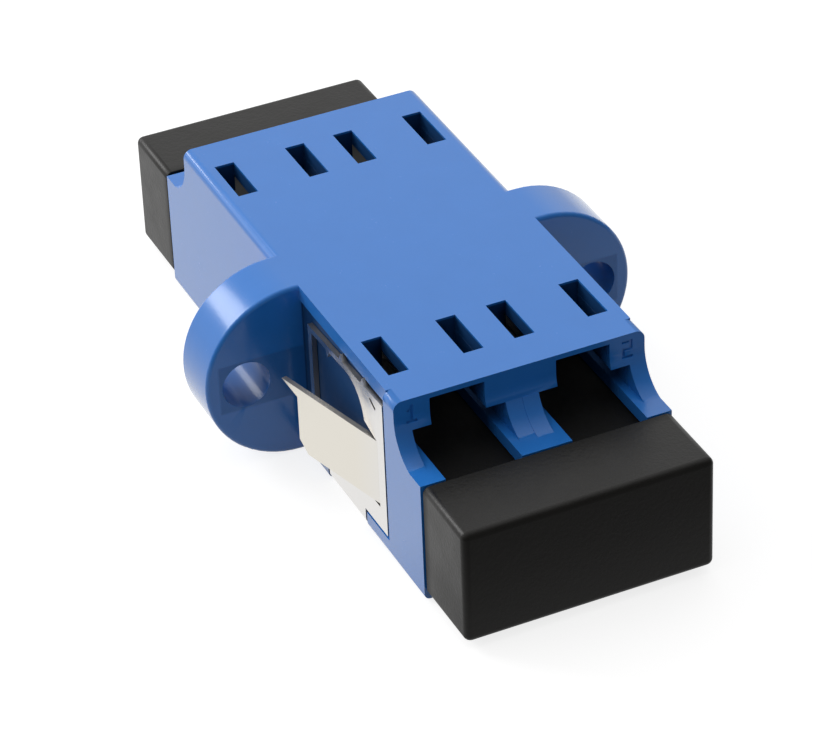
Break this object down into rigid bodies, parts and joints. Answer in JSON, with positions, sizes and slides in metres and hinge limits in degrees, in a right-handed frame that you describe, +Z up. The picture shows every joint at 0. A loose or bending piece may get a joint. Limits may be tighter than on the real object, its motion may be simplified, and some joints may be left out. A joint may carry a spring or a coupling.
{
  "type": "lc fibre adapter",
  "caption": "Duplex LC fibre adapter: blue housing with an oval screw flange, latch windows, a sprung steel panel clip and a black dust cap on each end.",
  "frame": {"origin": "middle of the housing, on the flange's mid plane, half way between its screw holes", "axes": "+X across the two ports, +Y along the ports towards the end without the clip, +Z up through the side with the latch windows"},
  "size_m": [0.022, 0.0379, 0.0092],
  "materials": {
    "blue_plastic": "satin moulded plastic",
    "sheet_steel": "bright rolled sheet",
    "cap_black": "fine matt texture",
    "sleeve_ceramic": "ground zirconia",
    "holder_white": "plain moulded plastic"
  },
  "bodies": {
    "adapter": {"housing": "blue_plastic", "panel_clip": "sheet_steel", "alignment_sleeve_left": "sleeve_ceramic", "alignment_sleeve_right": "sleeve_ceramic", "sleeve_holder_front_left": "holder_white", "sleeve_holder_front_right": "holder_white", "sleeve_holder_rear_left": "holder_white", "sleeve_holder_rear_right": "holder_white"},
    "front_cap": {"dust_cap_front": "cap_black"},
    "rear_cap": {"dust_cap_rear": "cap_black"},
    "left_tab": {"clip_tab_left": "sheet_steel"},
    "right_tab": {"clip_tab_right": "sheet_steel"}
  },
  "joints": [
    {"name": "front_cap_slide", "type": "slide", "parent": "adapter", "child": "front_cap", "axis": [0, -1, 0], "range_m": [-0.0001, 0.025]},
    {"name": "rear_cap_slide", "type": "slide", "parent": "adapter", "child": "rear_cap", "axis": [0, 1, 0], "range_m": [-0.0002, 0.025]},
    {"name": "left_tab_bend", "type": "hinge", "parent": "adapter", "child": "left_tab", "pos_m": [-0.00613, -0.01, 0], "axis": [0, 0, 1], "range_deg": [-14.5, 0], "stiffness_Nm_per_rad": 0.05},
    {"name": "right_tab_bend", "type": "hinge", "parent": "adapter", "child": "right_tab", "pos_m": [0.00613, -0.01, 0], "axis": [0, 0, -1], "range_deg": [-14.5, 0], "stiffness_Nm_per_rad": 0.05}
  ]
}
